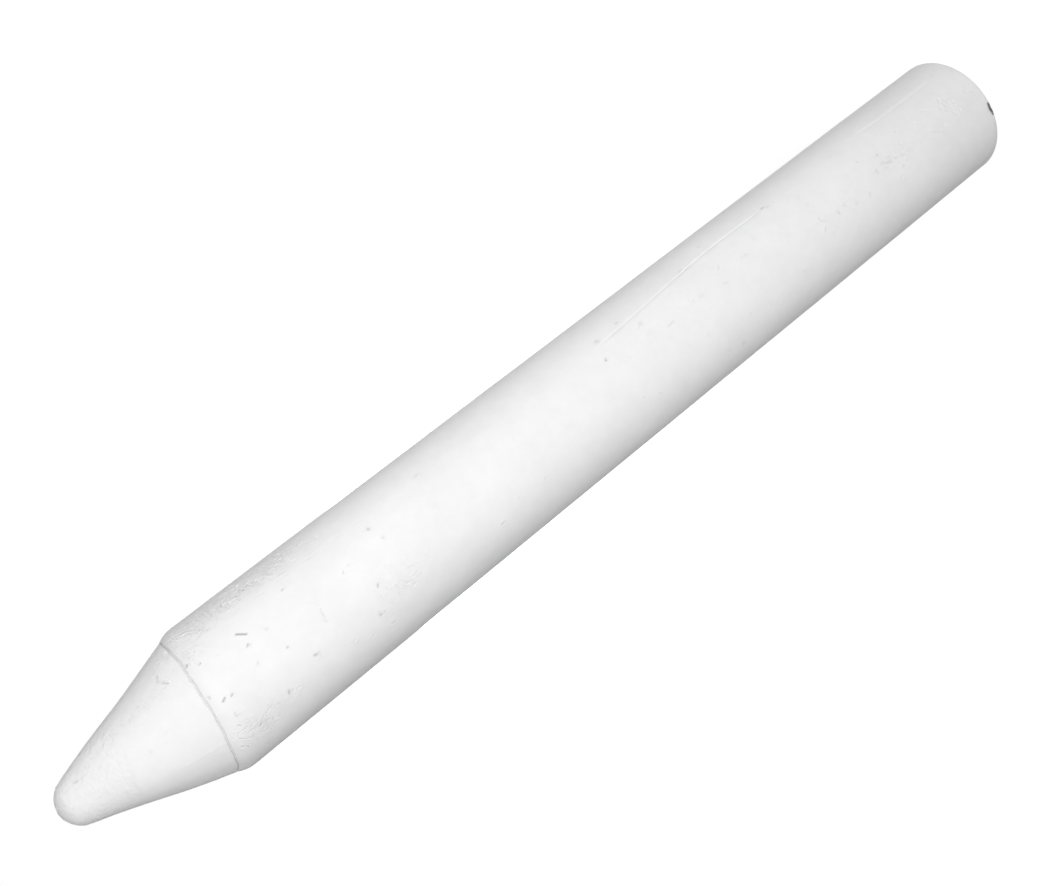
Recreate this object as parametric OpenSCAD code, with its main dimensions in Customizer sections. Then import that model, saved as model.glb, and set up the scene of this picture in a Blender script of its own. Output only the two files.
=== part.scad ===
// Jumbo wax crayon without its paper sleeve, standing on its flat rear end.
// It is one casting: a straight barrel, a rounded shoulder, a fine groove, a cone and a blunt nose.
// The Z axis runs from the middle of the rear end to the nose. The -Y side is the front.

/* [Barrel] */
// Diameter of the barrel
barrel_d = 14.3; // [11:0.1:18]
// Length of the straight barrel, from the flat rear end to the shoulder
barrel_len = 104.9; // [60:0.1:130]

/* [Shoulder] */
// Length over which the barrel rounds over, down to the groove
shoulder_len = 1.6; // [1:0.1:2]
// Radius of that rounding
shoulder_round = 3; // [2.4:0.1:4.5]
// Width of the groove between the shoulder and the cone
groove_w = 0.3; // [0.2:0.05:0.5]
// Depth of the groove
groove_depth = 0.18; // [0.1:0.02:0.3]

/* [Tip] */
// Length of the cone, from the groove to the nose
cone_len = 13.65; // [9:0.05:18]
// Diameter of the cone where the nose begins
nose_d = 4.1; // [3:0.1:6]
// Height of the domed nose
nose_h = 1.15; // [0.8:0.05:1.4]

/* [Mould seam] */
// Height that the seam stands out of the barrel
seam_h = 0.08; // [0.04:0.01:0.12]
// Width of the seam at its foot
seam_w = 0.45; // [0.3:0.05:0.8]
// Angle from the front to the seam, turning towards +X
seam_angle = 40; // [20:1:70]
// Angle by which the seam strays from that line halfway up
seam_stray = 10; // [0:1:15]

/* [Wear] */
// Angle from the front to the flat rubbed on the nose, turning towards +X
flat_angle = -80; // [-180:1:180]
// Tilt of that flat from level
flat_tilt = 31; // [15:1:50]
// Distance from the axis at which the flat starts
flat_start = 0.85; // [0.6:0.05:1.4]
// Angle from the front to the chip in the rear rim, turning towards +X
chip_angle = -18; // [-180:1:180]
// Radius of the scoop that the chip leaves
chip_r = 0.9; // [0.5:0.05:1.2]

/* [Hidden] */
$fn = 128;

wax_colour = [0.95, 0.95, 0.94];
barrel_r = barrel_d / 2;
nose_r = nose_d / 2;
groove_z = barrel_len + shoulder_len;
nose_z = groove_z + cone_len;
total_len = nose_z + nose_h;

// The shoulder is an arc that leaves the barrel without a corner and ends at the groove.
shoulder_x = barrel_r - shoulder_round;
cone_r = shoulder_x + sqrt(pow(shoulder_round, 2) - pow(shoulder_len, 2));

// The nose is a cap of the sphere through the rim of the cone and the end of the crayon.
dome_r = (pow(nose_r, 2) + pow(nose_h, 2)) / (2 * nose_h);

// The seam is a low trapezium, swept up the barrel in short steps and rooted in the wax.
seam_steps = 24;
seam_from = 1.5;
seam_to = barrel_len - 0.5;
seam_stray_z = 0.58 * barrel_len;
seam_stray_len = 0.095 * barrel_len;
seam_root = 0.3;
seam_crest = 0.4;

// The chip's scoop is centred this far outside the barrel and below the rear end.
chip_out = 0.35;
chip_below = 0.25;
flat_block = 10;

// Unit vector that points outwards at an angle from the front.
function outward(angle) = [sin(angle), -cos(angle)];

// Height of a ring of the seam.
function seam_z(i) = seam_from + (seam_to - seam_from) * i / seam_steps;

// Angle of the seam at a height.
function seam_at(z) =
    seam_angle - seam_stray * exp(-pow((z - seam_stray_z) / seam_stray_len, 2) / 2);

// Corner of the seam's section: how far out it is, and how far to the side.
function seam_corner(z, out, side) =
    let (
        radial = outward(seam_at(z)),
        across = [-radial[1], radial[0]],
        place = (barrel_r + out) * radial + side * across
    )
    [place[0], place[1], z];

// The four corners of the seam's section at a height.
function seam_ring(z) = [
    seam_corner(z, -seam_root, -seam_w / 2),
    seam_corner(z, -seam_root, seam_w / 2),
    seam_corner(z, seam_h, seam_crest * seam_w / 2),
    seam_corner(z, seam_h, -seam_crest * seam_w / 2),
];

// Half of the crayon's section, from the axis outwards.
module half_section() {
    difference() {
        union() {
            square([barrel_r, barrel_len]);
            intersection() {
                translate([shoulder_x, barrel_len]) circle(r = shoulder_round);
                translate([shoulder_x, barrel_len]) square([shoulder_round, shoulder_len]);
            }
            translate([0, barrel_len]) square([shoulder_x, shoulder_len]);
            polygon([[0, groove_z], [cone_r, groove_z], [nose_r, nose_z], [0, nose_z]]);
            intersection() {
                translate([0, total_len - dome_r]) circle(r = dome_r);
                translate([0, nose_z]) square([nose_r, nose_h]);
            }
        }
        polygon([
            [cone_r - groove_depth, groove_z],
            [cone_r + groove_depth, groove_z - groove_w],
            [cone_r + groove_depth, groove_z + groove_w],
        ]);
    }
}

// The seam where the halves of the mould met.
module mould_seam() {
    rings = [for (i = [0 : seam_steps]) each seam_ring(seam_z(i))];
    walls = [
        for (i = [0 : seam_steps - 1], k = [0 : 3])
            let (a = 4 * i + k, b = 4 * i + (k + 1) % 4)
            each [[a, a + 4, b], [b, a + 4, b + 4]]
    ];
    top = 4 * seam_steps;
    ends = [[0, 1, 2], [0, 2, 3], [top, top + 2, top + 1], [top, top + 3, top + 2]];
    polyhedron(points = rings, faces = concat(walls, ends));
}

// The block that takes the rubbed flat off the nose.
module nose_flat() {
    dome_drop = dome_r - sqrt(pow(dome_r, 2) - pow(flat_start, 2));
    rotate([0, 0, flat_angle - 90])
        translate([flat_start, 0, total_len - dome_drop])
            rotate([0, flat_tilt, 0])
                translate([-flat_block / 2, -flat_block / 2, 0])
                    cube([flat_block, flat_block, flat_block / 2]);
}

// The scoop that the chip left in the rear rim.
module rim_chip() {
    place = (barrel_r + chip_out) * outward(chip_angle);
    translate([place[0], place[1], -chip_below]) sphere(r = chip_r);
}

// The whole crayon.
module crayon() {
    color(wax_colour)
        difference() {
            union() {
                rotate_extrude() half_section();
                mould_seam();
            }
            nose_flat();
            rim_chip();
        }
}

crayon();
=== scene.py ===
"""A wax crayon, dressed in the frame of its solid model.

The crayon stands on its flat end at the origin with its nose up the Z axis, and its
front faces -Y. Heights are measured from the flat end, and angles from the front,
turning towards +X. Sizes are in millimetres and become metres in the mesh.
"""

import logging
import math
import random
from dataclasses import dataclass, field
from enum import Enum
from functools import cached_property, partial

import bpy
import numpy as np
from mathutils import Matrix, Vector, noise


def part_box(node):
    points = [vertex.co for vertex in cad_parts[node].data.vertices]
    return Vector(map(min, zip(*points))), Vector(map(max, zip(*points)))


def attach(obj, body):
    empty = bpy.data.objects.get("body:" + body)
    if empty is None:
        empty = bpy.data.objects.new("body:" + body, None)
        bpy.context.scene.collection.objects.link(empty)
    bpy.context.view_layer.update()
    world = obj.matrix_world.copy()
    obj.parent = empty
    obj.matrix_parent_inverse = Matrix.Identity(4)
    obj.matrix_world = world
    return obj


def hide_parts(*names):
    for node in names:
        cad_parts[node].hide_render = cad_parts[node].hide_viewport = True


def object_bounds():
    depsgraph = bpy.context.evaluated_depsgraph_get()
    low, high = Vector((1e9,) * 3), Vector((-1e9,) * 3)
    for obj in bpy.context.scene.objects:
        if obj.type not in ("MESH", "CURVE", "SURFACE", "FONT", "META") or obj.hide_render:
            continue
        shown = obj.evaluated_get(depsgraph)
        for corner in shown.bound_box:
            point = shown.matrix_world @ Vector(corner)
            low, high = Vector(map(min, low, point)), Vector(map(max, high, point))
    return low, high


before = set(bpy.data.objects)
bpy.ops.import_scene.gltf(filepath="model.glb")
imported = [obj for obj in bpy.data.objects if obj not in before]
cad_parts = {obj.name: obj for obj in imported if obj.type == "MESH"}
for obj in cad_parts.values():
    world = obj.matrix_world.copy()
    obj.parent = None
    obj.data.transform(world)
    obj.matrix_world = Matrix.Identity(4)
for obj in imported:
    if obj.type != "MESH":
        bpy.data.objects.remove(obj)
CAD_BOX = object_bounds()

MM = 0.001
LOG = logging.getLogger("crayon")

# About this many degrees round the skin make a millimetre.
DEGREES_PER_MM = 8.2

Place = tuple[float, float]
Fleck = tuple[float, float, float]
LongMark = tuple[tuple[Place, ...], float, float, float]
Array = np.ndarray
Object = bpy.types.Object
Tree = bpy.types.NodeTree
Node = bpy.types.Node
Socket = bpy.types.NodeSocket


class Pick(Enum):
    """What is selected in edit mode, as Blender's three switches for it."""

    EDGES = (False, True, False)
    FACES = (False, False, True)


def linear(code: str) -> tuple[float, float, float, float]:
    """Turn an sRGB hex code into a linear colour.

    Args:
        code: Six hex digits after a hash sign.

    Returns:
        Red, green, blue and a full alpha.
    """
    parts = [int(code[i : i + 2], 16) / 255 for i in (1, 3, 5)]
    flat = [p / 12.92 if p <= 0.04045 else ((p + 0.055) / 1.055) ** 2.4 for p in parts]
    return (*flat, 1.0)


def add_node(tree: Tree, kind: str, settings: dict, links: dict) -> Node:
    """Add a node with its settings and links.

    Args:
        tree: Tree that the node joins.
        kind: Blender's name for the kind of node, after "ShaderNode".
        settings: Values by the name of a property, or by the name or number of an input.
        links: Output sockets, or nodes in place of their first output, by the name or
            number of the input that each one feeds.

    Returns:
        The new node.
    """
    node = tree.nodes.new("ShaderNode" + kind)
    for name, value in settings.items():
        if isinstance(name, str) and hasattr(node, name):
            setattr(node, name, value)
        else:
            node.inputs[name].default_value = value
    for name, source in links.items():
        socket = source.outputs[0] if isinstance(source, Node) else source
        tree.links.new(socket, node.inputs[name])
    return node


def new_tree(owner: bpy.types.Material | bpy.types.World) -> Tree:
    """Give a material or the world an empty node tree.

    Args:
        owner: The material or the world.

    Returns:
        The tree.
    """
    owner.use_nodes = True
    owner.node_tree.nodes.clear()
    return owner.node_tree


def smooth_step(low: float, high: float, value: Array) -> Array:
    """Rise smoothly from 0 at the low value to 1 at the high value."""
    t = np.clip((value - low) / (high - low), 0, 1)
    return t * t * (3 - 2 * t)


def read(parts: bpy.types.bpy_prop_collection, name: str) -> Array:
    """Read a place from every part of a mesh, a row for each part.

    Args:
        parts: The mesh's vertices or polygons.
        name: What to read.

    Returns:
        The places.
    """
    flat = np.empty(len(parts) * 3)
    parts.foreach_get(name, flat)
    return flat.reshape(-1, 3)


@dataclass(frozen=True)
class Section:
    """Half section of the crayon, from the flat end to the nose."""

    barrel_r: float
    total_len: float
    barrel_len: float = 104.9
    shoulder_len: float = 1.6
    shoulder_round: float = 3.0
    groove_w: float = 0.2
    groove_depth: float = 0.17
    cone_len: float = 13.65
    nose_r: float = 2.05
    rim_round: float = 0.12
    # The tip was cast a little askew: the groove rises to one side and to the back.
    lean_side: float = 0.7
    lean_back: float = 0.5
    # The worn cone bulges a little towards its nose, which sits off the axis.
    nose_swell: float = 0.1
    nose_off: float = 0.12
    swell_end: float = 119.0
    # The groove wavers. Each ripple: its height, how many go round, and its start.
    ripples: tuple[tuple[float, float, float], ...] = ((0.035, 7, 0.4), (0.02, 17, 0))

    @property
    def groove_z(self) -> float:
        """Height of the groove, where the shoulder ends and the cone begins."""
        return self.barrel_len + self.shoulder_len

    @property
    def nose_z(self) -> float:
        """Height at which the domed nose begins."""
        return self.groove_z + self.cone_len

    @cached_property
    def cone_r(self) -> float:
        """Radius of the cone at the groove, where the arc of the shoulder ends."""
        drop = self.shoulder_round - math.sqrt(self.shoulder_round**2 - self.shoulder_len**2)
        return self.barrel_r - drop

    @cached_property
    def dome_r(self) -> float:
        """Radius of the sphere that caps the nose."""
        height = self.total_len - self.nose_z
        return (self.nose_r**2 + height**2) / (2 * height)

    def radius(self, z: Array) -> Array:
        """Radius of the crayon at each height.

        Args:
            z: Heights.

        Returns:
            Radii.
        """
        inner = self.barrel_r - self.rim_round
        rim = inner + np.sqrt(np.maximum(self.rim_round**2 - (self.rim_round - z) ** 2, 0))
        middle = self.barrel_r - self.shoulder_round
        arc = np.maximum(self.shoulder_round**2 - (z - self.barrel_len) ** 2, 0)
        shoulder = middle + np.sqrt(arc)
        taper = (self.nose_r - self.cone_r) / self.cone_len
        cone = self.cone_r + taper * (z - self.groove_z)
        over = z - (self.total_len - self.dome_r)
        dome = np.sqrt(np.maximum(self.dome_r**2 - over**2, 0))
        stretches = [z < self.rim_round, z < self.barrel_len, z < self.groove_z, z < self.nose_z]
        body = np.select(stretches, [rim, self.barrel_r, shoulder, cone], dome)
        swell = self.near_nose(z) * (1 - smooth_step(self.swell_end, self.total_len, z))
        body = body + self.nose_swell * swell
        across = np.abs(z - self.groove_z) / (self.groove_w / 2)
        return body - self.groove_depth * (1 - smooth_step(0, 1, across))

    def near_nose(self, z: Array) -> Array:
        """How much of the nose's stray reaches each height, from 0 to 1."""
        return smooth_step(self.groove_z + 4, self.nose_z - 3, z)

    def tilt(self, z: Array) -> tuple[Array, Array]:
        """How much of the skin's direction points outwards, and how much up, at each height.

        Args:
            z: Heights.

        Returns:
            The share outwards and the share up.
        """
        reach = 0.02
        low, high = self.radius(z - reach), self.radius(z + reach)
        slope = np.where(z < 1, 0, (high - low) / (2 * reach))
        length = np.sqrt(1 + slope**2)
        return 1 / length, -slope / length

    def skew(self, z: Array) -> Array:
        """How much of the skew reaches each height, from 0 to 1."""
        rise = smooth_step(self.barrel_len - 7, self.barrel_len - 0.5, z)
        return rise * (1 - smooth_step(self.groove_z + 1.5, self.nose_z - 1, z))

    def lifted(self, z: Array, angle: Array) -> Array:
        """Heights of the points once the skew has moved them.

        Args:
            z: Heights on the true section.
            angle: Angles in degrees.

        Returns:
            Heights.
        """
        turn = np.radians(angle)
        lift = self.lean_back * (1 - np.cos(turn)) - self.lean_side * np.sin(turn)
        waver = sum(high * np.sin(count * turn + start) for high, count, start in self.ripples)
        return z + (lift + waver) * self.skew(z)

    def shoulder_rings(self) -> list[float]:
        """Heights of the rings from the barrel to the far side of the groove.

        Returns:
            Heights, from the lowest.
        """
        arc = [self.barrel_len + self.shoulder_len * k / 7 for k in range(1, 7)]
        half = self.groove_w / 2
        groove = [self.groove_z + half * k for k in (-1, -0.66, -0.33, 0, 0.33, 0.66, 1)]
        return arc + groove

    def nose_rings(self) -> list[float]:
        """Heights of the rings from the end of the cone to just short of the pole.

        Returns:
            Heights, from the lowest.
        """
        wide = math.asin(self.nose_r / self.dome_r)
        centre = self.total_len - self.dome_r
        steps = 14
        return [centre + self.dome_r * math.cos(wide * (1 - k / steps)) for k in range(steps)]


@dataclass(frozen=True)
class MouldSeam:
    """Line where the halves of the mould met: a low step with a crease along its foot, and painted shade
    in the crease.
    """

    angle: float = 40.0
    height: float = 0.042
    crease: float = 0.05
    # Painted shade: the crease along the seam's foot is drawn this dark, in place of the shade in it.
    dirt: float = 0.16
    # The upper part is fainter, from this height to that, and narrower.
    fading: Place = (56.0, 60.0)
    upper_strength: float = 0.32
    least: float = 0.05
    narrow_from: float = 58.0
    narrow: float = 0.6
    # Below this height the crease is nearly gone.
    crease_from: float = 20.0
    low_crease: float = 0.1
    # The mesh follows the seam's bends this far to each side, in degrees.
    pull: float = 20.0
    # Each bend: the height of its middle, how far it strays in degrees, and its spread.
    bends: tuple[tuple[float, float, float], ...] = (
        (60.5, -10.0, 10.0),
        (40.5, 1.5, 4.0),
        (17.5, 2.5, 2.5),
        (84.5, -2.0, 3.5),
        (102.5, 2.5, 2.5),
    )
    # Each clear stretch: where it starts and ends, how high it is, and how wide.
    stretches: tuple[tuple[float, float, float, float], ...] = (
        (31.5, 57.5, 1.0, 1.0),
        (2.5, 17.5, 1.4, 1.7),
    )

    def stray(self, z: Array) -> Array:
        """How far the seam strays from its straight line, in degrees, at each height."""
        return sum(far * np.exp(-(((z - mid) / spread) ** 2) / 2) for mid, far, spread in self.bends)

    def strength(self, z: Array) -> Array:
        """How clearly the seam stands out at each height, from 0 to 1.

        Args:
            z: Heights.

        Returns:
            Strengths.
        """
        broken = smooth_step(-0.1, 0.5, np.sin(z * 3.1) * np.sin(z * 0.83 + 1))
        faint = self.upper_strength * broken * smooth_step(*self.fading, z) + self.least
        for start, end, strong, _ in self.stretches:
            inside = smooth_step(start, start + 2, z) * (1 - smooth_step(end - 3, end, z))
            faint = np.maximum(faint, strong * inside)
        return faint * smooth_step(0.6, 2, z) * (1 - smooth_step(103.5, 104.8, z))

    def across(self, z: Array, side: Array) -> Array:
        """Distances from the seam's line as shares of its width there, negative towards -X.

        Args:
            z: Heights.
            side: Distances from the seam's line, towards +X.

        Returns:
            Shares.
        """
        wide = np.where(z > self.narrow_from, self.narrow, 1.0)
        for start, end, _, width in self.stretches:
            wide = np.where((z > start) & (z < end), width, wide)
        return side / wide

    def rise(self, z: Array, side: Array) -> Array:
        """How far the seam lifts the skin, or sinks it where the result is negative.

        Args:
            z: Heights.
            side: Distances from the seam's line, towards +X.

        Returns:
            Lifts.
        """
        across = self.across(z, side)
        step = smooth_step(-0.13, 0.1, across) * np.exp(-np.maximum(across - 0.1, 0) / 0.8)
        return self.strength(z) * (self.height * step - self.crease * self.foot(z, side))

    def foot(self, z: Array, side: Array) -> Array:
        """How much of the crease at the seam's foot each place holds, from 0 to 1."""
        deep = np.where(z < self.crease_from, self.low_crease, 1.0)
        return deep * np.exp(-(((self.across(z, side) + 0.17) / 0.06) ** 2))


@dataclass(frozen=True)
class Stroke:
    """A fleck, scratch or dent that follows a few places on the skin.

    Its width is half of what it looks. A scratch throws up a low lip on each side.
    """

    places: tuple[Place, ...]
    width: float
    depth: float = 0.0
    stain: float = 0.0

    @cached_property
    def heights(self) -> list[float]:
        """Heights of the places."""
        return [place[0] for place in self.places]

    def profile(self, away: Array) -> Array:
        """How deep the stroke is at distances from its middle.

        Args:
            away: Distances from the stroke's middle.

        Returns:
            Depths.
        """
        cut = np.exp(-((away / self.width) ** 2))
        lip = np.exp(-(((away - 1.9 * self.width) / (0.7 * self.width)) ** 2))
        return self.depth * (cut - 0.5 * lip * (self.depth > 0))

    def distance(self, z: Array, angle: Array, radius: float) -> Array:
        """Distance from the stroke, measured along the skin.

        Args:
            z: Heights.
            angle: Angles in degrees.
            radius: Radius of the skin near the stroke.

        Returns:
            Distances.
        """
        around = math.radians(1) * radius
        x, y = z, angle * around
        ends = [(a, b * around) for a, b in self.places]
        if len(ends) == 1:
            return np.hypot(x - ends[0][0], y - ends[0][1])
        best = np.full(len(z), np.inf)
        for (ax, ay), (bx, by) in zip(ends, ends[1:]):
            dx, dy = bx - ax, by - ay
            along = ((x - ax) * dx + (y - ay) * dy) / (dx * dx + dy * dy + 1e-9)
            along = np.clip(along, 0, 1)
            best = np.minimum(best, np.hypot(x - ax - along * dx, y - ay - along * dy))
        return best


class Dirt(Enum):
    """How dark a fleck is."""

    FAINT = 0.12
    PLAIN = 0.24
    DARK = 0.5


def fleck(z: float, angle: float, size: float, dirt: Dirt) -> list[Stroke]:
    """Make a fleck: a small dark grain, and beside it a few fainter ones if it is large.

    Args:
        z: Height of its middle.
        angle: Angle of its middle.
        size: How wide the fleck spreads.
        dirt: How dark it is.

    Returns:
        The grains.
    """
    rng = random.Random(z + angle)
    grains = []
    # A wider fleck holds one more grain for each of these widths.
    grain_room = 0.13
    for k in range(1 + round(size / grain_room)):
        off = (0.0, 0.0) if k == 0 else (rng.gauss(0, size / 3), rng.gauss(0, size * 2.6))
        turn = rng.uniform(0, math.pi)
        half = rng.uniform(0.02, 0.1)
        along, around = half * math.cos(turn), half * math.sin(turn) * DEGREES_PER_MM
        middle = (z + off[0], angle + off[1])
        ends = ((middle[0] - along, middle[1] - around), (middle[0] + along, middle[1] + around))
        stain = dirt.value * (1 if k == 0 else rng.uniform(0.15, 0.5))
        width = 0.065 if k == 0 else rng.uniform(0.06, 0.1 + 0.1 * size)
        grains.append(Stroke(ends, width, 0.025, stain))
    return grains


@dataclass(frozen=True)
class Scuff:
    """A patch of small curved strokes, such as fingernails and grit leave."""

    place: Place
    spread: Place
    count: int
    length: float
    width: float
    depth: float
    stain: float
    lean: float
    rub: float
    seed: int

    def strokes(self) -> list[Stroke]:
        """Scatter the strokes of the patch, the same ones for the same seed.

        Returns:
            The strokes.
        """
        rng = random.Random(self.seed)
        made = []
        for _ in range(self.count):
            z = rng.gauss(self.place[0], self.spread[0])
            angle = rng.gauss(self.place[1], self.spread[1])
            turn = math.radians(rng.gauss(self.lean, 35))
            half = self.length * rng.uniform(0.3, 1) / 2
            bow = half * rng.uniform(-0.5, 0.5)
            along = (half * math.cos(turn), half * math.sin(turn) * DEGREES_PER_MM)
            side = (-bow * math.sin(turn), bow * math.cos(turn) * DEGREES_PER_MM)
            places = (
                (z - along[0], angle - along[1]),
                (z + side[0], angle + side[1]),
                (z + along[0], angle + along[1]),
            )
            width = self.width * rng.uniform(0.7, 1.3)
            depth, stain = self.depth, self.stain * rng.random()
            # Some stand up, as wax that was pushed aside does, and hold no dirt.
            if rng.random() < 0.4:
                depth, stain = -0.8 * depth, 0.0
            made.append(Stroke(places, width, depth, stain))
        return made


@dataclass(frozen=True)
class Wear:
    """Every mark on the skin, from flecks to scuffs, and the rubbed tip."""

    # Flecks, from the faintest to the darkest. Each one: height, angle and size.
    faint_flecks: tuple[Fleck, ...] = (
        (103.3, 21.0, 0.2), (93.5, -34.3, 0.45), (89.8, 14.0, 0.22), (106.4, -45.5, 0.4),
        (110.5, -0.5, 0.3), (116.3, 18.5, 0.3), (80.3, 8.3, 0.3), (73.1, -27.0, 0.3),
        (35.4, 22.0, 0.7), (45.9, 10.9, 0.4), (27.9, 25.4, 0.4), (24.3, -5.4, 0.4),
        (41.2, -29.1, 0.35), (45.0, -44.5, 0.3), (46.8, -18.3, 0.4), (54.8, -33.4, 0.4),
        (56.5, -26.9, 0.4), (32.8, -30.0, 0.6), (16.2, 20.9, 0.3), (12.6, 18.1, 0.4),
        (15.8, -16.7, 0.35), (2.0, 8.6, 0.4), (1.3, 3.6, 0.35), (2.5, 41.8, 0.4), (20.8, 40.4, 0.4),
    )
    plain_flecks: tuple[Fleck, ...] = (
        (98.85, 14.3, 0.5), (96.7, -23.3, 0.65), (101.2, -1.5, 0.2), (106.1, 0.5, 0.25),
        (89.4, -43.5, 0.4), (91.7, -41.5, 0.5), (90.6, 11.6, 0.22), (85.8, 13.8, 0.25),
        (105.9, -48.4, 0.4), (112.3, -5.5, 0.28), (117.9, 27.2, 0.28), (69.8, -27.7, 0.3),
        (75.8, -35.5, 0.6), (44.0, 39.8, 0.4), (37.6, 14.1, 0.75), (41.0, 19.4, 0.65),
        (41.7, 6.0, 0.4), (52.0, 22.5, 0.5), (40.1, 49.9, 0.3), (22.7, -9.8, 0.45),
        (42.9, -48.7, 0.3), (20.8, -12.1, 0.45), (16.7, 12.0, 0.42), (19.3, 18.9, 0.35),
        (18.3, 1.7, 0.42), (15.0, -10.0, 0.4),
    )
    dark_flecks: tuple[Fleck, ...] = (
        (95.6, 30.0, 0.35), (98.4, -5.6, 0.28), (100.9, 13.0, 0.3), (104.9, 23.5, 0.32),
        (105.9, 30.0, 0.4), (104.5, -7.7, 0.25), (90.1, -30.8, 0.6), (88.9, -11.1, 0.3),
        (86.3, 26.3, 0.25), (118.5, 29.5, 0.4), (79.7, 38.0, 0.42), (56.6, 35.3, 0.45),
        (57.5, 16.0, 0.45), (53.4, 36.4, 0.3), (25.5, -6.1, 0.42),
    )
    # Longer marks. Each one: its places, half width, depth and stain.
    strokes: tuple[LongMark, ...] = (
        (((101.1, 24.5), (100.4, 19.7)), 0.08, 0.03, 0.7),
        (((96.95, -22.2), (96.8, -23.1)), 0.13, 0.05, 0.3),
        (((105.4, -7.3), (105.1, -6.0)), 0.09, 0.03, 0.5),
        (((100.5, -31.3), (100.6, -33.6)), 0.09, 0.03, 0.4),
        (((104.15, -40.0), (103.95, -38.4)), 0.09, 0.04, 0.26),
        (((103.8, -37.4), (103.5, -35.4)), 0.06, 0.03, 0.12),
        (((94.2, 1.1), (94.3, -2.5), (94.4, -8.5)), 0.055, 0.015, 0.2),
        (((94.8, 11.1), (94.2, 6.5), (94.1, 3.7)), 0.055, 0.01, 0.06),
        (((105.2, -18.6), (105.3, -20.6), (105.2, -22.0)), 0.06, 0.03, 0.2),
        (((105.7, -27.7), (105.5, -28.1), (105.4, -29.5)), 0.06, 0.05, 0.2),
        (((106.2, -30.4), (105.9, -31.6)), 0.07, -0.04, 0.0),
        (((105.9, -33.0), (105.5, -33.6), (105.0, -33.1)), 0.055, 0.04, 0.14),
        (((106.2, -36.8), (106.05, -38.5), (105.9, -39.6)), 0.065, 0.05, 0.14),
        (((105.7, -41.4), (105.2, -43.0)), 0.065, 0.04, 0.1),
        (((105.0, -36.2), (104.4, -35.2), (103.6, -35.0)), 0.06, -0.04, 0.0),
        (((105.6, 62.0), (104.7, 59.0), (103.7, 53.5), (102.6, 42.5)), 0.08, 0.05, 0.18),
        (((104.9, 55.0), (104.0, 51.5), (103.0, 43.5)), 0.08, 0.045, 0.15),
        (((104.9, 48.5), (103.9, 45.5), (103.1, 38.0)), 0.07, 0.035, 0.1),
        (((108.2, 47.9), (108.4, 42.7), (108.3, 37.3), (107.9, 32.0)), 0.08, 0.04, 0.25),
        (((111.5, -38.5), (109.4, -36.9), (107.3, -35.6)), 0.055, -0.016, 0.0),
        (((115.2, -52.0), (114.9, -30.0), (114.5, -8.0), (114.2, 8.0)), 0.07, 0.012, 0.05),
        (((31.5, 40.0), (31.2, 37.3)), 0.14, 0.05, 0.38),
        (((44.5, 10.4), (45.0, 9.3)), 0.13, 0.02, 0.08),
        (((49.0, 7.5), (49.8, 6.5)), 0.13, 0.02, 0.11),
        (((27.9, 0.1), (27.8, -2.9)), 0.1, 0.08, 0.1),
        (((27.6, -4.3), (27.2, -5.7)), 0.11, 0.07, 0.08),
        (((27.4, 0.6), (27.2, -3.0)), 0.12, -0.03, 0.0),
        (((27.9, -10.4), (28.1, -12.4)), 0.12, 0.05, 0.16),
        (((23.0, -10.0), (22.9, -12.2)), 0.12, 0.04, 0.06),
        (((24.5, -4.0), (23.5, -4.5), (22.7, -5.8)), 0.1, 0.03, 0.03),
        (((17.1, 3.9), (16.6, 2.2)), 0.12, 0.09, 0.12),
        (((16.4, 1.1), (15.9, 0.3)), 0.17, 0.11, 0.14),
        (((15.3, 0.2), (14.9, -0.5)), 0.12, 0.08, 0.1),
        (((14.4, -1.2), (13.9, -2.4)), 0.15, 0.09, 0.06),
        (((13.2, -1.6), (12.9, -2.6)), 0.12, 0.06, 0.04),
        (((17.2, -0.4), (16.9, -2.6)), 0.1, 0.06, 0.08),
        (((16.2, 3.6), (15.5, 4.8)), 0.11, 0.06, 0.06),
        (((16.4, -2.2), (15.5, -2.6)), 0.2, -0.06, 0.0),
        (((14.8, 1.6), (14.1, 0.9)), 0.16, -0.05, 0.0),
        (((5.3, 18.4), (5.5, 15.6)), 0.13, 0.045, 0.02),
        (((6.1, 10.4), (6.1, 8.0)), 0.14, 0.07, 0.02), (((5.7, 5.6), (5.3, 3.0)), 0.12, 0.07, 0.02),
        (((5.1, -0.2), (4.8, -3.6)), 0.14, 0.06, 0.02),
        (((6.7, 7.6), (6.6, 5.0)), 0.18, -0.05, 0.0), (((4.6, 4.2), (4.3, 1.0)), 0.16, -0.04, 0.0),
        (((9.2, -2.3), (8.6, -3.5), (8.1, -6.2)), 0.13, 0.045, 0.04),
        (((7.8, -8.4), (7.5, -12.6)), 0.12, 0.035, 0.03),
        (((88.4, -16.0), (88.3, -18.6)), 0.08, 0.03, 0.08),
        (((86.7, -20.6), (86.5, -23.6), (86.0, -24.2)), 0.08, 0.04, 0.12),
        # A dark line is drawn through the chip in the rim.
        (((0.3, -13.2), (0.4, -18.0), (0.2, -24.4)), 0.14, 0.0, 0.95),
    )
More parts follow.
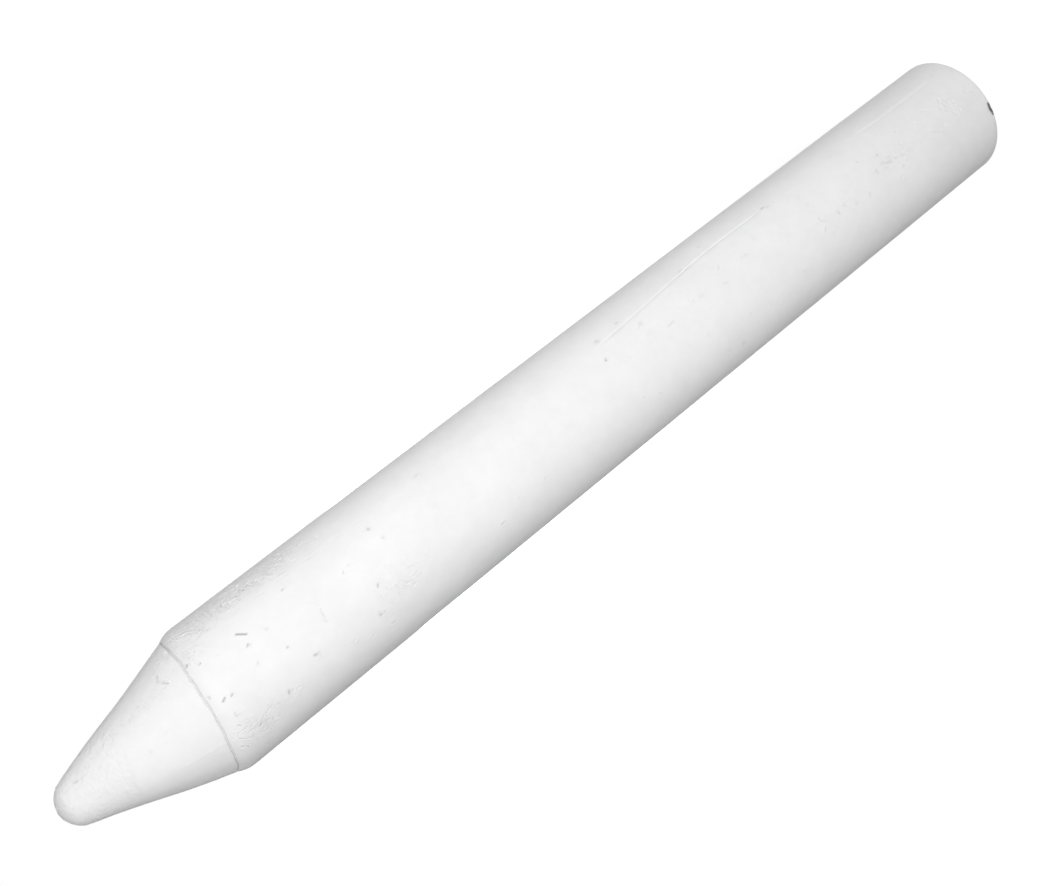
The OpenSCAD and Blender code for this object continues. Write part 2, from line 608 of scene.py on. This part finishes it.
    # Patches. Each one: middle, spread, count, length, half width, depth, stain, lean, rub, seed.
    scuffs: tuple[Scuff, ...] = (
        Scuff((99.0, 56.0), (4.5, 7.0), 170, 0.8, 0.055, 0.05, 0.16, 10, 0.9, 11),
        Scuff((95.5, 50.0), (1.6, 4.5), 46, 0.6, 0.09, 0.03, 0.14, 15, 0.6, 21),
        Scuff((103.8, -36.0), (1.4, 7.0), 60, 0.6, 0.06, 0.035, 0.14, 60, 0.5, 12),
        Scuff((99.8, -34.0), (0.8, 3.0), 16, 0.25, 0.06, 0.03, 0.12, 20, 0.3, 22),
        Scuff((86.6, -21.0), (1.7, 6.5), 90, 0.4, 0.06, 0.032, 0.09, 20, 0.4, 13),
        Scuff((105.0, 36.0), (0.8, 7.0), 34, 0.5, 0.055, 0.04, 0.12, 70, 0.7, 14),
        Scuff((117.3, 20.0), (1.8, 30.0), 70, 0.2, 0.07, 0.04, 0.05, 30, 0.25, 15),
        Scuff((112.0, 38.0), (3.0, 9.0), 44, 0.35, 0.055, 0.035, 0.1, 10, 0.5, 16),
        Scuff((15.5, 2.0), (1.8, 6.0), 34, 0.35, 0.08, 0.055, 0.05, 40, 0.15, 17),
        Scuff((5.4, 7.0), (1.0, 7.0), 26, 0.5, 0.09, 0.05, 0.02, 50, 0.1, 18),
        Scuff((24.5, -7.0), (2.4, 4.0), 30, 0.35, 0.08, 0.05, 0.05, 20, 0.15, 19),
        Scuff((45.0, 12.0), (8.0, 7.0), 34, 0.3, 0.08, 0.035, 0.05, 30, 0.15, 20),
    )
    # Where marks cross, they get no deeper than this.
    deepest: float = 0.09
    # The worn tip starts at a faint ring that leans towards the front's right.
    ring_z: float = 114.35
    ring_lean: float = 1.0
    tip_rub: float = 0.2
    # The nose is rubbed flat on one side, from this far off the axis.
    flat_angle: float = -80.0
    flat_tilt: float = 31.0
    flat_start: float = 0.85
    # The rear rim has lost a shallow chip, broken off along a ball centred outside it.
    chip_angle: float = -18.0
    chip_r: float = 2.0
    chip_out: float = 1.81
    chip_below: float = 0.26
    chip_rough: float = 0.05
    chip_bumps_per_mm: float = 2.3
    # The chip's surface is drawn this dark.
    chip_darkness: float = 0.9
    # Painted shade: the groove is drawn darker, this dark and this far to each side, in place of the
    # shade inside it.
    groove_shade: float = 0.13
    groove_reach: float = 0.06

    @cached_property
    def marks(self) -> list[Stroke]:
        """All the marks, those listed one by one first.

        Returns:
            The marks.
        """
        flecks = (self.faint_flecks, self.plain_flecks, self.dark_flecks)
        made = [grain for dirt, rows in zip(Dirt, flecks) for row in rows for grain in fleck(*row, dirt)]
        made.extend(Stroke(*row) for row in self.strokes)
        for scuff in self.scuffs:
            made.extend(scuff.strokes())
        return made


@dataclass(frozen=True)
class Skin:
    """What the wax's nodes know of each place: where it is, how rubbed and worn, and how dark its stains
    and its painted shade are.
    """

    tree: Tree
    place: Socket
    rub: Socket
    worn: Socket
    stain: Socket

    @classmethod
    def of(cls, tree: Tree) -> "Skin":
        """Read the values that are stored with the mesh.

        Args:
            tree: Tree of the wax.

        Returns:
            What is known of each place.
        """
        place = add_node(tree, "TexCoord", {}, {}).outputs["Object"]
        stored = [
            add_node(tree, "Attribute", {"attribute_name": name}, {}).outputs["Fac"]
            for name in ("rub", "worn", "stain")
        ]
        return cls(tree, place, *stored)


@dataclass(frozen=True)
class CastWax:
    """Paraffin wax with white pigment, cast in a split mould and handled since.

    It gives the eye a soft, dense white with no clear highlight: light goes a little way
    in, so creases never go black, and the skin has a dull sheen that scuffs break up.
    """

    white: str = "#F3F3F3"
    rubbed: str = "#F0F0F0"
    # Grey of grime, which also paints the shade in the groove and the seam's crease.
    grime_and_shade: str = "#4D4D4D"
    ior: float = 1.44
    roughness: float = 0.55
    scuffed_roughness: float = 0.65
    specular: float = 0.14
    # Light travels about this far inside the wax.
    travel: float = 0.4
    # Clouds and small blotches grey the white by up to these shares.
    cloud_size: float = 7.0
    cloud_shade: float = 0.04
    blotch_size: float = 1.3
    blotch_shade: float = 0.055
    # Real wax grain is near 0.05 mm. It is drawn coarser, so that it shows.
    grain_size: float = 0.26
    grain_height: float = 0.026
    grain_where_clean: float = 0.09
    grain_where_worn: float = 0.6
    # The worn tip is dimpled as well.
    dimple_size: float = 0.5
    dimple_height: float = 0.1
    # Hairline scratches are near 0.02 mm. They too are drawn coarser.
    scratch_size: float = 0.42
    scratch_depth: float = 0.02
    scratch_dirt: float = 0.2
    smudge_dirt: float = 0.05

    def material(self) -> bpy.types.Material:
        """Make the wax.

        Returns:
            The material.
        """
        wax = bpy.data.materials.new("cast_paraffin_wax")
        skin = Skin.of(new_tree(wax))
        node = partial(add_node, skin.tree)
        scratch = self.scratches(skin)
        dull = {"To Min": self.roughness, "To Max": self.scuffed_roughness}
        settings = {
            "IOR": self.ior,
            "Specular IOR Level": self.specular,
            "Subsurface Weight": 0.25,
            "Subsurface Radius": (1.0, 1.0, 1.0),
            "Subsurface Scale": self.travel * MM,
        }
        links = {
            "Base Color": self.colour(skin, scratch),
            "Roughness": node("MapRange", dull, {"Value": skin.rub}),
            "Normal": self.grain(skin, scratch),
        }
        shader = node("BsdfPrincipled", settings, links)
        node("OutputMaterial", {}, {"Surface": shader})
        return wax

    def scratches(self, skin: Skin) -> Node:
        """Draw short winding hairlines where the skin is rubbed.

        They are the level lines of one noise, which a second one breaks up.

        Args:
            skin: What is known of each place.

        Returns:
            How much of a hairline each place holds, from 0 to 1.
        """
        node, at = partial(add_node, skin.tree), {"Vector": skin.place}
        scale = 1 / (self.scratch_size * MM)
        wind = {"Scale": scale, "Detail": 2.0, "Roughness": 0.6, "Distortion": 0.8}
        winding = node("TexNoise", wind, at)
        gaps = node("TexNoise", {"Scale": scale * 0.8}, at)
        off_line = node("Math", {"operation": "SUBTRACT", 1: 0.5}, {0: winding})
        distance = node("Math", {"operation": "ABSOLUTE"}, {0: off_line})
        fade = {"From Min": 0.006, "From Max": 0.035, "To Min": 1.0, "To Max": 0.0}
        line = node("MapRange", fade, {"Value": distance})
        kept = node("MapRange", {"From Min": 0.46, "From Max": 0.54}, {"Value": gaps})
        times = {"operation": "MULTIPLY"}
        broken = node("Math", times, {0: line, 1: kept})
        return node("Math", times, {0: broken, 1: skin.rub})

    def colour(self, skin: Skin, scratch: Node) -> Socket:
        """Cloud the white, grey it where it is rubbed, and darken it where it is stained and where
        painted shade lies in the groove and the seam's crease.

        Args:
            skin: What is known of each place.
            scratch: How much of a hairline each place holds.

        Returns:
            The colour.
        """
        node, at = partial(add_node, skin.tree), {"Vector": skin.place}
        broad = {"Scale": 1 / (self.cloud_size * MM), "Detail": 3.0, "Roughness": 0.5}
        cloud = node("TexNoise", broad, at)
        small = {"Scale": 1 / (self.blotch_size * MM), "Detail": 4.0, "Roughness": 0.65}
        blotch = node("TexNoise", small, at)
        spread = {"From Min": 0.3, "From Max": 0.7, "To Min": 0.35, "To Max": 1.0}
        patchy = node("MapRange", spread, {"Value": blotch})
        fall = {**spread, "To Min": self.cloud_shade, "To Max": 0.0}
        shade = node("MapRange", fall, {"Value": cloud})
        clear = {"operation": "MULTIPLY_ADD", 1: -self.blotch_shade}
        mottle = node("Math", clear, {0: patchy, 2: shade})
        dulled = node("Math", {"operation": "ADD", 1: self.blotch_shade}, {0: mottle})
        greyed = {"data_type": "RGBA", 6: linear(self.white), 7: linear(self.grime_and_shade)}
        clouded = node("Mix", greyed, {0: dulled})
        times = {"operation": "MULTIPLY"}
        worn_here = node("Math", times, {0: skin.worn, 1: patchy})
        to_rubbed = {"data_type": "RGBA", 7: linear(self.rubbed)}
        rubbed = node("Mix", to_rubbed, {0: worn_here, 6: clouded.outputs[2]})
        smudge = node("Math", {**times, 0: self.smudge_dirt}, {1: patchy})
        join = {"operation": "MULTIPLY_ADD"}
        # The stain attribute holds real stains and also the painted shade of the groove and the seam's
        # crease.
        smudged = node("Math", join, {0: smudge, 1: skin.rub, 2: skin.stain})
        dirty = {**join, "use_clamp": True, 1: self.scratch_dirt}
        soiled_and_shaded = node("Math", dirty, {0: scratch, 2: smudged})
        to_grime = {"data_type": "RGBA", 7: linear(self.grime_and_shade)}
        return node("Mix", to_grime, {0: soiled_and_shaded, 6: rubbed.outputs[2]}).outputs[2]

    def grain(self, skin: Skin, scratch: Node) -> Node:
        """Roughen the skin, faintly where it is clean and more where it is rubbed.

        Args:
            skin: What is known of each place.
            scratch: How much of a hairline each place holds.

        Returns:
            The normal.
        """
        node, at = partial(add_node, skin.tree), {"Vector": skin.place}
        fine = {"Scale": 1 / (self.grain_size * MM), "Detail": 2.0, "Roughness": 0.6}
        grit = node("TexNoise", fine, at)
        more = {"operation": "MULTIPLY_ADD", 1: self.grain_where_worn}
        coarse = node("Math", more, {0: skin.worn, 2: skin.rub})
        least = {"To Min": self.grain_where_clean, "To Max": 1.0}
        strength = node("MapRange", least, {"Value": coarse})
        high = {"Distance": self.grain_height * MM}
        bump = node("Bump", high, {"Strength": strength, "Height": grit})
        wide = {"Scale": 1 / (self.dimple_size * MM), "Detail": 3.0, "Roughness": 0.6}
        dimples = node("TexNoise", wide, at)
        tall = {"Distance": self.dimple_height * MM}
        dimpled = node("Bump", tall, {"Strength": skin.worn, "Height": dimples, "Normal": bump})
        deep = {"invert": True, "Distance": self.scratch_depth * MM}
        return node("Bump", deep, {"Height": scratch, "Normal": dimpled})


@dataclass
class Crayon:
    """The crayon: drawn up ring by ring, cut finer where it is marked, then worked."""

    section: Section
    seam: MouldSeam
    wear: Wear
    wax: CastWax
    piece: Object = field(init=False)
    columns: int = 180
    seam_cuts: int = 4
    seam_reach: float = 4.0
    # The barrel's rings are cut twice over, into this many stretches and then steps.
    barrel_cuts: tuple[int, int] = (20, 9)
    cone_cuts: int = 67
    # Faces near a mark or the chip are cut finer: the cuts, how far off a face may be,
    # half the length of the longest mark, and the areas past which a face is cut.
    patch_cuts: int = 3
    patch_reach: float = 0.2
    chip_reach: float = 0.15
    longest_half: float = 3.0
    patch_area: float = 0.04
    chip_area: float = 0.01
    base_rings: tuple[float, ...] = (6.6, 5.8, 4.6, 3.0, 1.4, 0.4)
    base_hollow: float = 0.05
    # The skin stays this far inside the solid, but for the seam.
    margin: float = 0.002
    # Hollows that the casting left, round a mean depth. Each kind: its width round the
    # barrel, its length along it, its depth, and its start.
    hollow: float = 0.027
    hollows: tuple[tuple[float, ...], ...] = ((3.1, 9.0, 0.014, 0), (0.9, 2.2, 0.008, 7))

    def build(self) -> Object:
        """Model and dress the crayon.

        Returns:
            The finished piece.
        """
        self.rough_out()
        self.draw_tip()
        self.close_base()
        self.cut_rings()
        self.cut_patches()
        self.work_skin()
        self.tidy()
        self.piece.data.materials.clear()
        self.piece.data.materials.append(self.wax.material())
        return self.piece

    def pick(self, what: Pick, chosen: Array) -> None:
        """Select some edges or faces and stay in edit mode.

        Args:
            what: Whether edges or faces are chosen.
            chosen: One true or false for each edge or face.
        """
        bpy.ops.object.mode_set(mode="OBJECT")
        mesh = self.piece.data
        for part in (mesh.vertices, mesh.edges, mesh.polygons):
            part.foreach_set("select", np.zeros(len(part), bool))
        part = mesh.edges if what is Pick.EDGES else mesh.polygons
        part.foreach_set("select", chosen)
        bpy.context.tool_settings.mesh_select_mode = what.value
        bpy.ops.object.mode_set(mode="EDIT")

    def rough_out(self) -> None:
        """Start from a plain bar, with narrow columns where the seam runs."""
        length = self.section.barrel_len * MM
        bpy.ops.object.select_all(action="DESELECT")
        bpy.ops.mesh.primitive_cylinder_add(
            vertices=self.columns,
            radius=self.section.barrel_r * MM,
            depth=length,
            end_fill_type="NGON",
            location=(0, 0, length / 2),
        )
        self.piece = bpy.context.object
        self.piece.name = "cast_crayon"
        bpy.ops.object.transform_apply(location=True, rotation=True, scale=True)
        first, second = self.edge_ends()
        level = np.abs(first[:, 2] - second[:, 2]) < MM / 100
        middle = (first + second) / 2
        angle = np.degrees(np.arctan2(middle[:, 0], -middle[:, 1]))
        near = np.abs(angle - self.seam.angle) < self.seam_reach
        self.pick(Pick.EDGES, level & near)
        bpy.ops.mesh.subdivide(number_cuts=self.seam_cuts)

    def draw_tip(self) -> None:
        """Draw the bar's top up through the shoulder, the groove, the cone and the nose."""
        section = self.section
        centre, _ = self.faces()
        self.pick(Pick.FACES, centre[:, 2] > (section.barrel_len - 0.01) * MM)
        height, radius = section.barrel_len, section.barrel_r
        for ring in section.shoulder_rings() + section.nose_rings():
            wide = float(section.radius(np.array(ring)))
            bpy.ops.mesh.extrude_region_move(
                TRANSFORM_OT_translate={"value": (0, 0, (ring - height) * MM)}
            )
            bpy.ops.transform.resize(
                value=(wide / radius, wide / radius, 1), center_override=(0, 0, ring * MM)
            )
            height, radius = ring, wide
        bpy.ops.mesh.merge(type="CENTER")

    def close_base(self) -> None:
        """Round the rim of the flat end and draw rings in to its middle."""
        section = self.section
        first, second = self.edge_ends()
        self.pick(Pick.EDGES, np.maximum(first[:, 2], second[:, 2]) < MM / 100)
        bpy.ops.mesh.bevel(
            offset=section.rim_round * MM, segments=3, affect="EDGES", clamp_overlap=False
        )
        centre, _ = self.faces()
        self.pick(Pick.FACES, centre[:, 2] < MM / 1000)
        radius = section.barrel_r - section.rim_round
        for ring in self.base_rings:
            bpy.ops.mesh.inset(thickness=(radius - ring) * MM)
            radius = ring
        bpy.ops.mesh.merge(type="CENTER")

    def cut_rings(self) -> None:
        """Cut rings into the barrel and the cone, which have none yet."""
        for shortest, cuts in ((20, self.barrel_cuts[0]), (2, self.barrel_cuts[1])):
            first, second = self.edge_ends()
            low = np.minimum(first[:, 2], second[:, 2])
            high = np.maximum(first[:, 2], second[:, 2])
            barrel = high < (self.section.barrel_len + 0.01) * MM
            self.pick(Pick.EDGES, barrel & (high - low > shortest * MM))
            bpy.ops.mesh.subdivide(number_cuts=cuts)
        first, second = self.edge_ends()
        tall = np.abs(first[:, 2] - second[:, 2]) > self.section.cone_len / 2 * MM
        self.pick(Pick.EDGES, tall)
        bpy.ops.mesh.subdivide(number_cuts=self.cone_cuts)

    def cut_patches(self) -> None:
        """Cut the skin finer round every mark and the chip."""
        centre, area = self.faces()
        centre = centre / MM
        z = centre[:, 2]
        angle = np.degrees(np.arctan2(centre[:, 0], -centre[:, 1]))
        angle = self.strayed(z, angle)
        lifted = self.section.lifted(z, angle)
        near = np.zeros(len(z), bool)
        for mark in self.wear.marks:
            radius = float(self.section.radius(np.array(mark.heights[0])))
            from_middle = np.abs(lifted - sum(mark.heights) / len(mark.heights))
            close = from_middle < self.longest_half
            reach = mark.width * 1.6 + self.patch_reach
            found = mark.distance(lifted[close], angle[close], radius) < reach
            near[close] |= found
        from_chip = np.linalg.norm(centre - self.chip_centre(), axis=1)
        chip = from_chip < self.wear.chip_r + self.chip_reach
        coarse = near & (area > self.patch_area * MM * MM) & (z > 0.3)
        self.pick(Pick.FACES, coarse | (chip & (area > self.chip_area * MM * MM)))
        bpy.ops.mesh.subdivide(number_cuts=self.patch_cuts)
        bpy.ops.object.mode_set(mode="OBJECT")

    def strayed(self, z: Array, angle: Array) -> Array:
        """Angles of the points once the columns near the seam follow it."""
        follow = np.exp(-(((angle - self.seam.angle) / self.seam.pull) ** 2))
        return angle + self.seam.stray(z) * follow

    def chip_centre(self) -> Array:
        """Middle of the ball along which the chip broke off.

        Returns:
            Its place.
        """
        turn = math.radians(self.wear.chip_angle)
        reach = self.section.barrel_r + self.wear.chip_out
        return np.array([reach * math.sin(turn), -reach * math.cos(turn), -self.wear.chip_below])

    def work_skin(self) -> None:
        """Set every point on the true section, then press, raise and wear it."""
        mesh, section, seam = self.piece.data, self.section, self.seam
        point = read(mesh.vertices, "co") / MM
        z = point[:, 2].copy()
        angle = np.degrees(np.arctan2(point[:, 0], -point[:, 1]))
        own = np.hypot(point[:, 0], point[:, 1])
        base = (z < 0.001) & (own < section.barrel_r - section.rim_round - 0.01)
        pole = own < 0.05
        angle = np.where(base | pole, angle, self.strayed(z, angle))
        radius = np.where(base, own, section.radius(z))
        radius = np.where(pole, 0, radius)
        lifted = np.where(base | pole, z, section.lifted(z, angle))
        depth, stain = self.press_marks(lifted, angle)
        # The painted shade in the groove joins the stains.
        stain = np.maximum(stain, self.painted_groove_shade(z))
        depth = np.maximum(depth + self.unevenness(point), self.margin)
        side = np.radians(angle - seam.angle - seam.stray(z)) * radius
        on_barrel = z < section.barrel_len
        depth = depth - seam.rise(z, side) * on_barrel
        # The painted shade in the seam's crease joins the stains.
        foot = seam.dirt * seam.strength(z) * seam.foot(z, side)
        stain = np.maximum(stain, foot * on_barrel)
        out, up = section.tilt(z)
        depth = np.where(base | pole, 0, depth)
        radius = radius - depth * out
        turn = np.radians(angle)
        placed = np.stack([radius * np.sin(turn), -radius * np.cos(turn), lifted - depth * up], 1)
        placed[:, 0] += section.nose_off * section.near_nose(z)
        hollow = self.base_hollow * (1 - (own / section.barrel_r) ** 2)
        placed[:, 2] = np.where(base, hollow, placed[:, 2])
        placed[pole & (z > 1)] = (section.nose_off, 0, section.total_len)
        self.rub_nose(placed)
        self.chip_rim(placed, stain)
        mesh.vertices.foreach_set("co", (placed * MM).ravel())
        self.store(mesh, "stain", stain)
        self.store(mesh, "rub", self.rubbed(lifted, angle))
        self.store(mesh, "worn", self.worn(lifted, angle))
        mesh.update()

    def press_marks(self, z: Array, angle: Array) -> tuple[Array, Array]:
        """Press every mark into the skin.

        Args:
            z: Heights of the points.
            angle: Angles of the points.

        Returns:
            How deep and how stained each point is.
        """
        depth = np.zeros(len(z))
        stain = np.zeros(len(z))
        order = np.argsort(z)
        sorted_z = z[order]
        for mark in self.wear.marks:
            reach = 4 * mark.width
            start = np.searchsorted(sorted_z, min(mark.heights) - reach)
            end = np.searchsorted(sorted_z, max(mark.heights) + reach)
            here = order[start:end]
            radius = float(self.section.radius(np.array(mark.heights[0])))
            away = mark.distance(z[here], angle[here], radius)
            fade = np.exp(-((away / mark.width) ** 2))
            depth[here] += mark.profile(away)
            stain[here] = np.maximum(stain[here], mark.stain * fade)
        most = self.wear.deepest
        return most * np.tanh(depth / most), stain

    def painted_groove_shade(self, z: Array) -> Array:
        """How dark the painted shade in the groove is at each height."""
        across = (z - self.section.groove_z) / self.wear.groove_reach
        return self.wear.groove_shade * np.exp(-(across**2))

    def unevenness(self, point: Array) -> Array:
        """Depth of the hollows that the casting left, at each point.

        Args:
            point: Places of the points.

        Returns:
            Depths.
        """
        depth = np.full(len(point), self.hollow)
        for wide, tall, deep, start in self.hollows:
            for i, (x, y, z) in enumerate(point):
                depth[i] += deep * noise.noise(Vector((x / wide + start, y / wide, z / tall)))
        return depth

    def rubbed(self, z: Array, angle: Array) -> Array:
        """How scuffed the skin is at each point, from 0 to 1.

        Args:
            z: Heights.
            angle: Angles in degrees.

        Returns:
            Shares.
        """
        rub = np.zeros(len(z))
        for scuff in self.wear.scuffs:
            far_z = (z - scuff.place[0]) / scuff.spread[0]
            far_angle = (angle - scuff.place[1]) / scuff.spread[1]
            rub = np.maximum(rub, scuff.rub * np.exp(-(far_z**2 + far_angle**2) / 3))
        return np.maximum(rub, self.wear.tip_rub * self.worn(z, angle))

    def worn(self, z: Array, angle: Array) -> Array:
        """How far each point is inside the worn tip, from 0 to 1."""
        ring = self.wear.ring_z - self.wear.ring_lean * np.sin(np.radians(angle))
        return smooth_step(-0.3, 0.5, z - ring)

    def rub_nose(self, placed: Array) -> None:
        """Cut the rubbed flat into the nose, in place.

        Args:
            placed: Places of the points.
        """
        turn = math.radians(self.wear.flat_angle)
        tilt = math.radians(self.wear.flat_tilt)
        outward = np.array([math.sin(turn), -math.cos(turn), 0])
        facing = math.sin(tilt) * outward + math.cos(tilt) * np.array([0, 0, 1])
        drop = self.section.dome_r - math.sqrt(self.section.dome_r**2 - self.wear.flat_start**2)
        start = self.wear.flat_start * outward + np.array([0, 0, self.section.total_len - drop])
        over = np.maximum((placed - start) @ facing, 0)
        placed -= over[:, None] * facing

    def chip_rim(self, placed: Array, stain: Array) -> None:
        """Break the chip out of the rear rim and darken it, in place.

        Args:
            placed: Places of the points.
            stain: How stained each point is.
        """
        centre = self.chip_centre()
        for i in np.nonzero(np.linalg.norm(placed - centre, axis=1) < self.wear.chip_r)[0]:
            away = placed[i] - centre
            distance = np.linalg.norm(away)
            bump = noise.noise(Vector(placed[i] * self.wear.chip_bumps_per_mm))
            rough = self.wear.chip_rough * abs(bump)
            reach = self.wear.chip_r - rough
            if distance < reach:
                placed[i] = centre + away / distance * reach
                stain[i] = self.wear.chip_darkness

    def store(self, mesh: bpy.types.Mesh, name: str, values: Array) -> None:
        """Keep a value for each point of the mesh under a name."""
        layer = mesh.attributes.new(name, "FLOAT", "POINT")
        layer.data.foreach_set("value", values.astype(np.float32))

    def tidy(self) -> None:
        """Close the mesh, turn its faces outwards and smooth all but its true edges."""
        bpy.ops.object.mode_set(mode="EDIT")
        bpy.ops.mesh.select_all(action="SELECT")
        bpy.ops.mesh.remove_doubles(threshold=MM / 10000)
        bpy.ops.mesh.normals_make_consistent(inside=False)
        bpy.ops.object.mode_set(mode="OBJECT")
        bpy.ops.object.shade_smooth_by_angle(angle=math.radians(35))

    def edge_ends(self) -> tuple[Array, Array]:
        """Places of the two ends of every edge, in metres.

        Returns:
            The first ends and the second ends.
        """
        bpy.ops.object.mode_set(mode="OBJECT")
        mesh = self.piece.data
        ends = np.empty(len(mesh.edges) * 2, int)
        mesh.edges.foreach_get("vertices", ends)
        place = read(mesh.vertices, "co")
        return place[ends[::2]], place[ends[1::2]]

    def faces(self) -> tuple[Array, Array]:
        """Centre and area of every face, in metres.

        Returns:
            The centres and the areas.
        """
        bpy.ops.object.mode_set(mode="OBJECT")
        polygons = self.piece.data.polygons
        area = np.empty(len(polygons))
        polygons.foreach_get("area", area)
        return read(polygons, "center"), area


@dataclass(frozen=True)
class Studio:
    """Pale floor, soft lamps, plain white surroundings and the camera."""

    # Each lamp: angle from the front, distance from the axis, height, width and watts.
    # The key hangs in front, above the nose.
    key: tuple[float, ...] = (-3.0, 240.0, 170.0, 90.0, 0.515)
    # A small low one lifts the lower half.
    low: tuple[float, ...] = (15.0, 120.0, 45.0, 60.0, 0.016)
    # One at the side parts the crayon from the shade there.
    side: tuple[float, ...] = (90.0, 210.0, 100.0, 110.0, 0.1)
    # The last stands behind and keeps the back from going dull.
    back: tuple[float, ...] = (180.0, 420.0, 90.0, 110.0, 1.2)
    ambient: float = 0.12
    # The floor's own glow, near the crayon and far off, where no lamp reaches.
    glow: tuple[float, float] = (0.68, 1.0)
    glow_reach: tuple[float, float] = (20.0, 120.0)
    card: str = "#C2C2C2"
    floor_radius: float = 3000.0
    lens: float = 44.03
    camera_side: float = 0.14
    camera_distance: float = 122.1
    camera_height: float = 112.1
    camera_pitch: float = 20.53
    camera_roll: float = -128.23

    def set_up(self) -> None:
        """Make the camera, the surroundings, the lamps and the floor."""
        scene = bpy.context.scene
        scene.view_settings.view_transform = "Standard"
        scene.camera = self.camera()
        scene.world = self.surroundings()
        for name in ("key", "low", "side", "back"):
            self.lamp(name, *getattr(self, name))
        self.floor()

    def camera(self) -> Object:
        """Make the camera, which looks down on the crayon with the frame turned.

        Returns:
            The camera.
        """
        data = bpy.data.cameras.new("camera")
        data.lens = self.lens
        data.sensor_width = 36.0
        data.clip_start = 0.01
        data.clip_end = 20.0
        camera = bpy.data.objects.new("camera", data)
        bpy.context.scene.collection.objects.link(camera)
        stand = Vector((self.camera_side, -self.camera_distance, self.camera_height)) * MM
        place = Matrix.Translation(stand)
        pitch = Matrix.Rotation(math.radians(90 - self.camera_pitch), 4, "X")
        roll = Matrix.Rotation(math.radians(self.camera_roll), 4, "Z")
        camera.matrix_world = place @ pitch @ roll
        return camera

    def lamp(
        self, name: str, angle: float, distance: float, height: float, size: float, watts: float
    ) -> Object:
        """Hang a soft round lamp that faces the middle of the crayon.

        Args:
            name: What the lamp is called.
            angle: Angle from the front.
            distance: Distance from the crayon's axis.
            height: Height above the floor.
            size: Width across.
            watts: Power.

        Returns:
            The lamp.
        """
        data = bpy.data.lights.new(f"{name}_lamp", "AREA")
        data.shape = "DISK"
        data.size = size * MM
        data.energy = watts
        lamp = bpy.data.objects.new(f"{name}_lamp", data)
        bpy.context.scene.collection.objects.link(lamp)
        turn = math.radians(angle)
        place = Vector((math.sin(turn) * distance, -math.cos(turn) * distance, height)) * MM
        aim = Vector((0, 0, CAD_BOX[1].z / 2)) - place
        facing = aim.to_track_quat("-Z", "Y").to_matrix().to_4x4()
        lamp.matrix_world = Matrix.Translation(place) @ facing
        lamp.visible_camera = False
        return lamp

    def seen(self, tree: Tree) -> Node:
        """Add what is 1 where a thing is seen, straight or in a gloss, and 0 where it lights.

        Args:
            tree: Tree that the nodes join.

        Returns:
            The last node.
        """
        node = partial(add_node, tree)
        path = node("LightPath", {}, {}).outputs
        either = {"operation": "MAXIMUM"}
        both = {0: path["Is Camera Ray"], 1: path["Is Glossy Ray"]}
        every = {0: node("Math", either, both), 1: path["Is Transmission Ray"]}
        return node("Math", either, every)

    def surroundings(self) -> bpy.types.World:
        """Make a world that looks white and lights gently.

        Returns:
            The world.
        """
        world = bpy.data.worlds.new("white_studio")
        tree = new_tree(world)
        node = partial(add_node, tree)
        bright = {"To Min": self.ambient, "To Max": 1.0}
        strength = node("MapRange", bright, {"Value": self.seen(tree)})
        white = {"Color": (1.0, 1.0, 1.0, 1.0)}
        back = node("Background", white, {"Strength": strength})
        node("OutputWorld", {}, {"Surface": back})
        return world

    def floor(self) -> Object:
        """Lay a pale floor that keeps a soft shadow and fades to white round it.

        Returns:
            The floor.
        """
        bpy.ops.object.select_all(action="DESELECT")
        bpy.ops.mesh.primitive_circle_add(
            vertices=96, radius=self.floor_radius * MM, fill_type="NGON", location=(0, 0, -0.02 * MM)
        )
        floor = bpy.context.object
        floor.name = "studio_floor"
        bpy.ops.object.transform_apply(location=True, rotation=True, scale=True)
        card = bpy.data.materials.new("pale_card")
        tree = new_tree(card)
        node = partial(add_node, tree)
        place = node("TexCoord", {}, {}).outputs["Object"]
        away = node("VectorMath", {"operation": "LENGTH"}, {0: place})
        fade = {
            "interpolation_type": "SMOOTHSTEP",
            "From Min": self.glow_reach[0] * MM,
            "From Max": self.glow_reach[1] * MM,
            "To Min": self.glow[0],
            "To Max": self.glow[1],
        }
        glow = node("MapRange", fade, {"Value": away.outputs["Value"]})
        shown = {0: glow, 1: self.seen(tree)}
        lit = node("Math", {"operation": "MULTIPLY"}, shown)
        matt = node("BsdfDiffuse", {"Color": linear(self.card)}, {})
        white = node("Emission", {}, {"Strength": lit})
        both = node("AddShader", {}, {0: matt, 1: white})
        node("OutputMaterial", {}, {"Surface": both})
        floor.data.materials.append(card)
        return floor


def main() -> None:
    """Build the studio and the crayon, and note the sizes."""
    logging.basicConfig(level=logging.INFO, format="%(message)s")
    Studio().set_up()
    low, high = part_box("crayon")
    section = Section(barrel_r=-low.x / MM, total_len=high.z / MM)
    crayon = Crayon(section, MouldSeam(), Wear(), CastWax()).build()
    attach(crayon, "root")
    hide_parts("crayon")
    triangles = sum(len(face.vertices) - 2 for face in crayon.data.polygons)
    LOG.info("%s: %d triangles", crayon.name, triangles)


if __name__ == "__main__":
    main()
